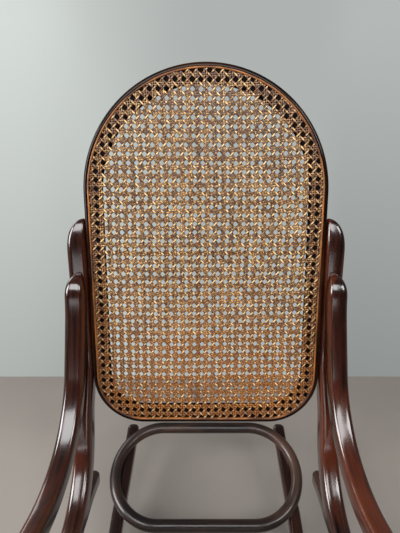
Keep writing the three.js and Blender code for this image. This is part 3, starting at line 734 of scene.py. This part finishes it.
class Nodes:
    """Short calls for building the node tree of a material or of the world."""

    def __init__(self, owner):
        owner.use_nodes = True
        self.owner, self.tree = owner, owner.node_tree

    def node(self, kind, values=None, **settings):
        node = self.tree.nodes.new(kind)
        for key, value in settings.items():
            setattr(node, key, value)
        for key, value in (values or {}).items():
            self.put(node.inputs[key], value)
        return node

    def put(self, socket, value):
        if isinstance(value, bpy.types.NodeSocket):
            self.tree.links.new(value, socket)
        else:
            socket.default_value = value

    def place(self, kind="Object"):
        return self.node("ShaderNodeTexCoord").outputs[kind]

    def attribute(self, name):
        settings = {"attribute_name": name, "attribute_type": "GEOMETRY"}
        return self.node("ShaderNodeAttribute", **settings).outputs["Vector"]

    def split(self, vector):
        return self.node("ShaderNodeSeparateXYZ", {0: vector}).outputs

    def noise(self, vector, scale, detail, rough=0.55):
        """scale: one number, or a stretch for each axis."""
        if isinstance(scale, tuple):
            stretch = {"Vector": vector, "Scale": scale}
            vector, scale = self.node("ShaderNodeMapping", stretch).outputs[0], 1
        values = {"Vector": vector, "Scale": scale, "Detail": detail, "Roughness": rough}
        return self.node("ShaderNodeTexNoise", values).outputs[0]

    def math(self, operation, a, b=0.0):
        return self.node("ShaderNodeMath", {0: a, 1: b}, operation=operation).outputs[0]

    def plus(self, a, b):
        return self.math("ADD", a, b)

    def times(self, a, b):
        return self.math("MULTIPLY", a, b)

    def span(self, value, low, high, to_low=0.0, to_high=1.0, kind="SMOOTHSTEP"):
        """Maps the stretch from low to high to the one from to_low to to_high."""
        values = {0: value, 1: low, 2: high, 3: to_low, 4: to_high}
        return self.node("ShaderNodeMapRange", values, interpolation_type=kind).outputs[0]

    def mix(self, share, a, b):
        return self.node("ShaderNodeMix", {0: share, 6: a, 7: b}, data_type="RGBA").outputs[2]

    def bump(self, height, strength, distance):
        values = {"Height": height, "Strength": strength, "Distance": distance}
        return self.node("ShaderNodeBump", values).outputs[0]

    def shade(self, **values):
        for key, value in values.items():
            self.put(self.tree.nodes["Principled BSDF"].inputs[key.replace("_", " ")], value)
        return self.owner


def material_nodes(name):
    return Nodes(bpy.data.materials.new(name))


def rgb(red, green, blue):
    """A colour given as it looks on a screen, 0 to 255."""
    def linear(c):
        c /= 255
        return c / 12.92 if c <= 0.04045 else ((c + 0.055) / 1.055) ** 2.4
    return (linear(red), linear(green), linear(blue), 1.0)


def lacquered(
    name, dark, warm, worn, half_width, half_depth, gloss, wear, shine, coat,
    coat_rough=0.12, low_dark=0.0,
):
    """Old lacquered bentwood: its grain follows the bend, and the lacquer is thin along the edges.
    gloss is its lowest roughness, wear the share of worn lacquer, low_dark how dark it is low down.
    """
    n = material_nodes(name)
    grain = n.attribute("grain")
    _, x, y = n.split(grain)
    streaks = n.noise(grain, (5, 150, 150), detail=5, rough=0.6)
    fine = n.noise(grain, (14, 420, 420), detail=2)
    patches = n.noise(grain, (4.2, 16, 16), detail=4, rough=0.6)
    spots = n.noise(grain, (26, 60, 60), detail=5, rough=0.7)
    corner = n.times(
        n.math("ABSOLUTE", n.math("DIVIDE", x, half_width * MM)),
        n.math("ABSOLUTE", n.math("DIVIDE", y, half_depth * MM)),
    )
    edge = n.span(n.plus(corner, n.times(spots, 0.5)), 0.72, 1.05)
    base = n.mix(n.span(streaks, 0.36, 0.66), dark, warm)
    base = n.mix(n.times(n.span(patches, 0.45, 0.7), wear), base, worn)
    base = n.mix(n.times(edge, EDGE_WEAR * wear), base, worn)
    base = n.mix(n.span(fine, 0.52, 0.72, 0, 0.5), base, dark)
    clouded = n.plus(n.times(patches, 0.6), n.times(spots, 0.4))
    if low_dark:
        height = n.split(n.node("ShaderNodeNewGeometry").outputs["Position"])[2]
        base = n.mix(n.span(height, *LOW_DARK_HEIGHTS, 0, low_dark), base, dark)
    return n.shade(
        Base_Color=base,
        Roughness=n.span(clouded, 0.3, 0.7, gloss, gloss + ROUGHNESS_RANGE),
        Normal=n.bump(n.plus(n.times(streaks, 0.7), n.times(spots, 0.5)), 0.1, 0.0005),
        Specular_IOR_Level=shine,
        Coat_Weight=coat,
        Coat_Roughness=coat_rough,
        Coat_IOR=COAT_IOR,
    )


def cane_material(name):
    """Old cane: each strand ages by itself. The panel is darker at its rim, and painted warm shade
    makes it amber low down.
    """
    n = material_nodes(name)
    along, tint, edge = n.split(n.attribute("strand"))
    relief, up, depth = n.split(n.attribute("panel"))
    place = n.place()
    run = n.node("ShaderNodeCombineXYZ", {0: n.times(along, 34), 1: n.times(tint, 90)}).outputs[0]
    ageing = n.noise(run, 1, detail=5, rough=0.75)
    dashes = n.noise(run, (4.5, 1.7, 1), detail=2, rough=0.6)
    fibre = n.noise(place, (900, 900, 900), detail=2)
    clouds = n.noise(place, 9, detail=4)
    stains = n.noise(place, 38, detail=3, rough=0.6)
    straw, honey, amber = rgb(242, 188, 114), rgb(150, 92, 36), rgb(186, 109, 32)
    brown, grime = rgb(80, 49, 31), rgb(80, 50, 42)
    base = n.mix(n.span(ageing, 0.4, 0.62), honey, straw)
    base = n.mix(n.span(n.plus(tint, n.times(clouds, 0.8)), 0.95, 1.5, 0, 0.8), base, brown)
    base = n.mix(n.span(dashes, 0.47, 0.6, 0, 0.85), base, brown)
    # Painted warm shade makes the panel amber towards its bottom
    base = n.mix(n.span(n.plus(up, n.times(clouds, 0.35)), 0.72, 0.2, 0, 0.68), base, amber)
    base = n.mix(n.span(stains, 0.5, 0.7, 0, 0.4), base, brown)
    # Grime settles where a strand passes under another, and touch keeps the top of it pale
    # Painted shade and some grime darken a strand where it passes under another; a painted
    # highlight lightens its top
    base = n.mix(n.span(relief, 0.72, 0.25, 0, 0.96), base, rgb(36, 18, 10))
    pale = n.times(n.span(relief, 0.64, 0.93, 0, 0.95), n.span(dashes, 0.55, 0.42))
    base = n.mix(pale, base, rgb(252, 218, 164))
    base = n.mix(n.span(fibre, 0.5, 0.75, 0, 0.55), base, brown)
    rim = n.span(n.plus(depth, n.times(clouds, 0.014)), 0.028, 0.017, 0, 0.34)
    base = n.mix(rim, base, grime)
    # Painted shade, with some grime, darkens the edges of each strand, along the gaps between
    # strands
    base = n.mix(n.span(edge, 0.2, 0.75, 0, 0.93), base, rgb(34, 17, 10))
    return n.shade(
        Base_Color=base,
        Roughness=n.span(ageing, 0.3, 0.7, 0.22, 0.38),
        Normal=n.bump(fibre, 0.35, 0.0004),
        Specular_IOR_Level=0.5,
    )


def spline_material(name):
    n = material_nodes(name)
    grain = n.attribute("grain")
    streaks = n.noise(grain, (40, 700, 700), detail=4)
    patches = n.noise(grain, (9, 9, 9), detail=4, rough=0.65)
    base = n.mix(n.span(streaks, 0.35, 0.7), rgb(128, 76, 36), rgb(184, 118, 56))
    return n.shade(
        Base_Color=n.mix(n.span(patches, 0.42, 0.62), base, rgb(72, 40, 23)),
        Roughness=n.span(patches, 0.3, 0.7, 0.3, 0.5),
        Normal=n.bump(streaks, 0.3, 0.0003),
    )


def steel_material(name):
    n = material_nodes(name)
    place = n.place()
    stain = n.noise(place, 420, detail=5, rough=0.7)
    fine = n.noise(place, 1800, detail=2)
    return n.shade(
        Base_Color=n.mix(n.span(stain, 0.42, 0.66), rgb(122, 114, 104), rgb(62, 42, 31)),
        Metallic=n.span(stain, 0.45, 0.7, 0.95, 0.55),
        Roughness=n.span(stain, 0.35, 0.7, 0.34, 0.62),
        Normal=n.bump(fine, 0.2, 0.0002),
    )


slot_materials = {
    "rod_wood": lacquered(
        "rod_wood", rgb(16, 5, 3), rgb(50, 16, 5), rgb(105, 43, 14), POST_WIDTH / 2, POST_DEPTH / 2,
        gloss=0.18, wear=0.5, shine=0.2, coat=1.0, coat_rough=0.16, low_dark=0.55,
    ),
    "hoop_wood": lacquered(
        "hoop_wood", rgb(16, 8, 6), rgb(40, 24, 19), rgb(92, 60, 44),
        HOOP_DIAMETER / 2, HOOP_DIAMETER / 2, gloss=0.3, wear=0.6, shine=0.5, coat=0.28,
    ),
    "frame_wood": lacquered(
        "frame_wood", rgb(12, 6, 4), rgb(26, 12, 7), rgb(92, 50, 24), FRAME_WIDTH, FRAME_THICKNESS,
        gloss=0.2, wear=0.35, shine=0.03, coat=0.16,
    ),
    "cane": cane_material("cane"),
    "spline": spline_material("spline"),
    "screw_steel": steel_material("screw_steel"),
}
# The ledge behind the cane is nearly black and has no gloss
ledge_wood = lacquered(
    "ledge_wood", rgb(9, 5, 4), rgb(15, 9, 7), rgb(28, 16, 10), FRAME_WIDTH, FRAME_THICKNESS,
    gloss=0.6, wear=0.3, shine=0.05, coat=0.0,
)


# Placing pieces

def new_object(name, data):
    piece = bpy.data.objects.new(name, data)
    bpy.context.scene.collection.objects.link(piece)
    return piece


def add_piece(name, mesh, slot_name, *nodes, place=None):
    piece = new_object(name, mesh)
    mesh.materials.clear()
    mesh.materials.append(slot_materials[slot_name])
    if place is not None:
        piece.matrix_world = place
    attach(piece, "root")
    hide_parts(*nodes)


def carved(mesh, cutters):
    """The mesh less the cutters, which are meshes in the same frame."""
    for cutter in cutters:
        work, tool = new_object("work", mesh), new_object("tool", cutter)
        cut = work.modifiers.new("cut", "BOOLEAN")
        cut.operation, cut.solver, cut.object = "DIFFERENCE", "EXACT", tool
        graph = bpy.context.evaluated_depsgraph_get()
        mesh = bpy.data.meshes.new_from_object(work.evaluated_get(graph))
        for helper in (work, tool):
            bpy.data.objects.remove(helper)
    return mesh


def mirrored(mesh, name):
    """The left side's copy, whose grain is another stretch of the same wood."""
    copy = mesh.copy()
    copy.name = name
    copy.transform(Matrix.Scale(-1, 4, Vector((1, 0, 0))))
    copy.flip_normals()
    layer = copy.attributes["grain"]
    values = np.empty(len(layer.data) * 3, np.float32)
    layer.data.foreach_get("vector", values)
    values[0::3] += MIRROR_GRAIN_SHIFT
    layer.data.foreach_set("vector", values)
    return copy


def finish_edges(mesh, angle=35):
    """Smooth shading, but sharp where faces meet at more than the angle, in degrees."""
    mesh.shade_smooth()
    mesh.set_sharp_from_angle(angle=math.radians(angle))
    return mesh


# Screws

def screw_places():
    """Name, point on the face, direction and length of each of the right side's screws, and the rod
    it enters."""
    lean, slope = math.radians(POST_TOP_LEAN), math.radians(RAIL_SLOPE)
    inwards = Vector((-1, 0, 0))
    along = Vector((0, -math.cos(lean), math.sin(lean)))
    centre = Vector((post_side, post_line_at(ARM_TIP_SCREW_HEIGHT), ARM_TIP_SCREW_HEIGHT))
    lap = POST_DEPTH + GAP + SCREW_BITE
    yield "arm_tip_screw", centre - along * POST_DEPTH / 2, along, lap, "post"
    for i, reach in enumerate(BACK_SCREW_REACHES):
        at = back_matrix @ Vector((0, reach, -FRAME_THICKNESS / 2))
        at.x = post_side + POST_WIDTH / 2
        yield f"back_screw_{i + 1}", at, inwards, POST_WIDTH + GAP + SCREW_BITE, "post"
    for i, depth in enumerate(SEAT_SCREW_DEPTHS):
        at = Vector((rail_side + POST_WIDTH / 2, depth, rail_height_at(depth) + SEAT_LIFT))
        yield f"seat_screw_{i + 1}", at, inwards, POST_WIDTH + GAP + SCREW_BITE, "post"
    up = Vector((0, math.sin(slope), math.cos(slope)))
    for i, depth in enumerate(RUNNER_SCREW_DEPTHS):
        at = Vector(((rail_side + runner_side) / 2, depth, return_height_at(depth)))
        at -= up * RUNNER_DEPTH / 2
        yield f"rail_screw_{i + 1}", at, up, RUNNER_DEPTH + GAP + SCREW_BITE, "runner"
    arm_points, post_points = (
        places(route, np.linspace(0, length_of(route), ROUTE_SAMPLES))[0]
        for route in (arm_route(), post_route())
    )
    apart = np.linalg.norm(arm_points[:, None] - post_points[None], axis=-1)
    a, b = np.unravel_index(apart.argmin(), apart.shape)
    spot = (arm_points[a] + post_points[b]) / 2
    side = arm_side + ARM_WIDTH / 2
    yield "arm_rail_screw", Vector((side, *spot)), inwards, ARM_WIDTH + GAP + SCREW_BITE, "arm"
    spot = on_rocker(math.degrees(ARM_FOOT_SCREW_REACH / ROCKER_RADIUS), ARM_FOOT_LIFT / 2)
    yield "arm_foot_screw", Vector((side, *spot)), inwards, ARM_WIDTH + SCREW_BITE / 2, "arm"
    for i, shift in enumerate((-hoop_crossing, hoop_crossing)):
        angle = HOOP_ANGLE + math.degrees(math.asin(shift / ROCKER_RADIUS))
        turn = math.radians(angle)
        at = Vector((side_on_tail(angle), *on_rocker(angle, -RUNNER_DEPTH / 2)))
        up = Vector((0, -math.sin(turn), math.cos(turn)))
        yield f"hoop_screw_{i + 1}", at, up, RUNNER_DEPTH - HOOP_SADDLE + SCREW_BITE, "runner"


def aim(at, along, turn=0.0):
    """Puts a screw's head at the place, with its point in the given direction."""
    rotation = Vector((0, 0, -1)).rotation_difference(along).to_matrix().to_4x4()
    return Matrix.Translation(at) @ rotation @ Matrix.Rotation(turn, 4, "Z")


def pocket_mesh(at, along):
    """The hole that a screw's head sits in."""
    deep, high = -HEAD_SINK - HEAD_HEIGHT - POCKET_END_GAP, POCKET_OVERRUN
    head, shank = HEAD_DIAMETER / 2 + POCKET_SIDE_GAP, SHANK_DIAMETER / 2
    profile = [(0, deep), (shank, deep), (head, -HEAD_SINK), (head, high), (0, high)]
    vertices, faces = lathe(profile, SCREW_SIDES)
    grain = np.zeros((sum(map(len, faces)), 3))
    return make_mesh("pocket", in_chair(vertices, aim(at, along)), faces, grain)


def screw_mesh(length):
    """A slotted countersunk screw whose head's middle is at the origin and whose point is below."""
    head, shank, top = HEAD_DIAMETER / 2, SHANK_DIAMETER / 2, -HEAD_SINK
    profile = [
        *((shank * across, -length + SCREW_POINT * up) for across, up in POINT_PROFILE),
        (shank, top - HEAD_HEIGHT),
        *((head + out, top + up) for out, up in HEAD_RIM),
        *((head * across, top + up) for across, up in HEAD_DOME),
    ]
    vertices, faces = lathe(profile, SCREW_SIDES)
    body = plain_mesh("screw", (vertices * MM).tolist(), faces)
    half, deep = SLOT_WIDTH / 2 * MM, (top - SLOT_DEPTH) * MM
    wide, high = (head + SLOT_OVERRUN) * MM, SLOT_OVERRUN * MM
    corners = [(x, y, z) for x in (-wide, wide) for y in (-half, half) for z in (deep, high)]
    slot = plain_mesh("slot", corners, [
        (0, 1, 3, 2), (4, 6, 7, 5), (0, 4, 5, 1), (2, 3, 7, 6), (0, 2, 6, 4), (1, 5, 7, 3)
    ])
    return finish_edges(carved(body, [slot]), angle=30)


# Hoop stretcher

hoop_end = HOOP_LENGTH / 2


def side_on_tail(angle):
    return tail_side_at(math.radians(TAIL_ANGLE - angle) * ROCKER_RADIUS)


hoop_overlap = side_on_tail(HOOP_ANGLE) - (HOOP_WIDTH / 2 - hoop_end)
hoop_crossing = math.sqrt(hoop_end ** 2 - hoop_overlap ** 2)
hoop_sag = ROCKER_RADIUS - math.sqrt(ROCKER_RADIUS ** 2 - hoop_crossing ** 2)
hoop_lift = RUNNER_DEPTH / 2 + HOOP_DIAMETER / 2 - HOOP_SADDLE + hoop_sag
hoop_matrix = panel_matrix((0, *on_rocker(HOOP_ANGLE, hoop_lift)), HOOP_ANGLE)
hoop_matrix = hoop_matrix @ Matrix.Translation(Vector((0, -hoop_end, 0)))


def hoop_mesh(clearance=0.0):
    radius = HOOP_DIAMETER / 2 + clearance
    section = np.array([radius * polar(2 * math.pi * i / HOOP_SIDES) for i in range(HOOP_SIDES)])
    route = outline(HOOP_WIDTH, HOOP_LENGTH, hoop_end, hoop_end)
    return loop_mesh("hoop", route, section, hoop_matrix)


# Building

side_screws = list(screw_places())
pockets = {
    rod: [pocket_mesh(at, along) for _, at, along, _, holder in side_screws if holder == rod]
    for rod in ("post", "arm", "runner")
}
rods = {
    "post_and_seat_rail": carved(post_mesh(), pockets["post"]),
    "arm_rod": carved(arm_mesh(), [runner_mesh(GAP), *pockets["arm"]]),
    "runner": carved(runner_mesh(), [hoop_mesh(GAP), *pockets["runner"]]),
}
for name, mesh in rods.items():
    finish_edges(mesh)
    add_piece(f"bent_right_{name}", mesh, "rod_wood", f"right_{name}")
    add_piece(f"bent_left_{name}", mirrored(mesh, name), "rod_wood", f"left_{name}")

turns = random.Random(SCREW_SEED)
for name, at, along, length, _ in side_screws:
    mesh = screw_mesh(length)
    for side, sign in (("right", 1), ("left", -1)):
        spot = Vector((sign * at.x, at.y, at.z)) * MM + Vector(SHIFT)
        way = Vector((sign * along.x, along.y, along.z))
        place = aim(spot, way, turns.uniform(0, math.pi))
        add_piece(f"slotted_{side}_{name}", mesh, "screw_steel", f"{side}_{name}", place=place)


def add_panel(name, sizes, matrix, seed):
    section, route = frame_section(), outline(*sizes)
    frame_mesh = finish_edges(loop_mesh(f"{name}_frame", route, section, matrix), angle=50)
    add_piece(f"{name}_frame_hoop", frame_mesh, "frame_wood", f"{name}_frame")
    frame_mesh.materials.append(ledge_wood)
    on_ledge = (section[:, 0] < -RIM_WIDTH) & (section[:, 1] > -FRAME_THICKNESS / 2)
    for face in frame_mesh.polygons:
        if on_ledge[face.index % len(section)]:
            face.material_index = 1
    reed = loop_mesh(f"{name}_reed", route, spline_section(), matrix, SPLINE_STEP)
    add_piece(f"{name}_groove_reed", finish_edges(reed, angle=50), "spline", f"{name}_spline")
    weave = Weave(sizes, matrix, seed)
    kinds = {
        "columns": (weave.columns(), STRAND_WIDTH, COLUMN_TONE),
        "rows": (weave.rows_across(), STRAND_WIDTH, ROW_TONE),
        "diagonals_up": (weave.diagonals(1), DIAGONAL_WIDTH, UP_TONE),
        "diagonals_down": (weave.diagonals(-1), DIAGONAL_WIDTH, DOWN_TONE),
    }
    for kind, (lines, width, tone) in kinds.items():
        mesh = weave.strands(f"{name}_{kind}", lines, width, tone)
        add_piece(f"{name}_cane_{kind}", mesh, "cane", f"{name}_cane")


add_panel("back", back_sizes, back_matrix, BACK_SEED)
add_panel("seat", seat_sizes, seat_matrix, SEAT_SEED)
add_piece("oval_hoop", finish_edges(hoop_mesh()), "hoop_wood", "hoop_stretcher")


def bar_mesh():
    """The turned bar, with the profile of its ring rounded."""
    half, wide = runner_side - RUNNER_WIDTH / 2 - GAP, BAR_RING_WIDTH / 2
    thick, rise = BAR_DIAMETER / 2, (BAR_RING - BAR_DIAMETER) / 2
    ring = [
        (thick + rise * math.sin(a), wide * math.cos(a))
        for a in np.linspace(math.pi, 0, RING_POINTS)
    ]
    tip, tenon = half + BAR_TENON_LENGTH, BAR_TENON / 2
    right = [
        (0, tip),
        (tenon - TENON_BEVEL, tip),
        (tenon, tip - TENON_BEVEL),
        (tenon, half),
        (BAR_END / 2 - BAR_END_BEVEL, half),
    ]
    for share in np.linspace(1, 0, BAR_POINTS):
        across = wide + BAR_RING_MARGIN + (half - wide - BAR_RING_MARGIN) * share
        swell = math.cos(share * math.pi / 2) ** BAR_SWELL
        right.append((BAR_END / 2 + (BAR_DIAMETER - BAR_END) / 2 * swell, across))
    profile = [(r, -z) for r, z in right] + ring + right[::-1]
    vertices, faces = lathe(profile, BAR_SIDES)
    marks = np.array([(vertices[v][2], vertices[v][0], vertices[v][1]) for f in faces for v in f])
    turn = Matrix.Translation(Vector((0, -FRONT_REACH, BAR_HEIGHT)))
    turn = turn @ Matrix.Rotation(math.pi / 2, 4, "Y")
    return finish_edges(make_mesh("bar", in_chair(vertices, turn), faces, marks), angle=40)


add_piece("turned_bar", bar_mesh(), "rod_wood", "front_stretcher")


# Floor, light and camera

# The floor ends where the photo's floor meets the wall
FLOOR_NEAR, FLOOR_FAR, FLOOR_HALF_WIDTH = -7.0, 0.888, 7.0
FLOOR_TONES = rgb(136, 129, 123), rgb(148, 141, 134)
WALL_LEFT, WALL_RIGHT = rgb(216, 222, 218), rgb(180, 185, 183)
# Parts of the view's direction, and the tone or strength that each stretch of them maps to
WALL_PALING = (-0.45, 0.0, 0, 1)
WALL_FALL = (-0.65, 0.1, 0.57, 1)
WALL_MIDDLE = (0.33, 0.22, 0, 1)
ROOM = (-0.25, 0.45, 0.04, 0.26)
WALL_MIDDLE_STRENGTH, SOFT_LIGHT = 0.93, 0.32
# Place, target, width and height, power
SEAT_MIDDLE, BACK_MIDDLE = (0, 0.1, 0.7), (0, 0.1, 0.86)
LAMPS = {
    "front_window": ((-0.25, -1.55, 2.7), SEAT_MIDDLE, (2.6, 1.4), 60),
    "left_window": ((-2.2, -0.6, 1.64), SEAT_MIDDLE, (1.1, 1.5), 50),
    "rear_window": ((-1.93, 1.45, 1.8), SEAT_MIDDLE, (1.1, 1.3), 11),
    "low_window": ((-0.25, -2.3, 0.66), BACK_MIDDLE, (2.3, 0.18), 3),
    "right_window": ((1.49, -1.06, 2.18), SEAT_MIDDLE, (0.9, 0.8), 17),
}
# The photo's middle line lies 6 of its 533 pixels to the right of its frame's middle
CAMERA_PLACE, CAMERA_PITCH, CAMERA_SHIFT = (0, -0.3678, 1.0797), 25.3, -6 / 533
SENSOR, LENS = 36, 27.0


def add_floor():
    near, far, wide = FLOOR_NEAR, FLOOR_FAR, FLOOR_HALF_WIDTH
    corners = [(-wide, near, 0), (wide, near, 0), (wide, far, 0), (-wide, far, 0)]
    mesh = plain_mesh("floor", corners, [(0, 1, 2, 3)])
    n = material_nodes("floor")
    clouds = n.noise(n.place(), 1.6, detail=3)
    tone = n.mix(n.span(clouds, 0.3, 0.7), *FLOOR_TONES)
    mesh.materials.append(n.shade(Base_Color=tone, Roughness=0.6, Specular_IOR_Level=0.25))
    new_object("floor", mesh)


def add_world():
    """Soft even light. The camera and reflections see a pale wall behind the chair, and reflections
    a dimmer room in front of it."""
    world = bpy.data.worlds.new("studio")
    bpy.context.scene.world = world
    n = Nodes(world)
    n.tree.nodes.clear()
    rays = n.node("ShaderNodeLightPath").outputs
    across, depth, height = n.split(n.place("Generated"))
    # The wall is paler at the left, where the light comes from. It is darker towards the floor at
    # its sides, and nearly even behind the cane
    tone = n.mix(n.span(across, *WALL_PALING), WALL_LEFT, WALL_RIGHT)
    fall = n.span(height, *WALL_FALL, kind="LINEAR")
    middle = n.span(n.math("ABSOLUTE", across), *WALL_MIDDLE)
    even = n.node("ShaderNodeMix", {0: middle, 2: fall, 3: WALL_MIDDLE_STRENGTH}).outputs[0]
    room = n.span(depth, *ROOM, kind="LINEAR")
    strength = n.times(n.math("MAXIMUM", rays["Is Camera Ray"], room), even)
    wall = n.node("ShaderNodeBackground", {0: tone, 1: strength}).outputs[0]
    light = n.node("ShaderNodeBackground", {0: (1, 1, 1, 1), 1: SOFT_LIGHT}).outputs[0]
    seen = n.math("MAXIMUM", rays["Is Camera Ray"], rays["Is Glossy Ray"])
    seen = n.math("MAXIMUM", seen, rays["Is Transmission Ray"])
    surface = n.node("ShaderNodeMixShader", {0: seen, 1: light, 2: wall}).outputs[0]
    n.node("ShaderNodeOutputWorld", {0: surface})


def add_lamp(name, place, target, size, power):
    data = bpy.data.lights.new(name, "AREA")
    data.shape, data.size, data.size_y, data.energy = "RECTANGLE", *size, power
    lamp = new_object(name, data)
    lamp.location = place
    lamp.rotation_euler = (Vector(target) - Vector(place)).to_track_quat("-Z", "Y").to_euler()


def add_camera():
    data = bpy.data.cameras.new("camera")
    data.sensor_width, data.sensor_fit, data.lens = SENSOR, "AUTO", LENS
    data.shift_x = CAMERA_SHIFT
    camera = new_object("camera", data)
    camera.location = CAMERA_PLACE
    camera.rotation_euler = (math.radians(90 - CAMERA_PITCH), 0, 0)
    bpy.context.scene.camera = camera


add_floor()
add_world()
for name, lamp in LAMPS.items():
    add_lamp(name, *lamp)
add_camera()
bpy.context.scene.view_settings.view_transform = "Standard"
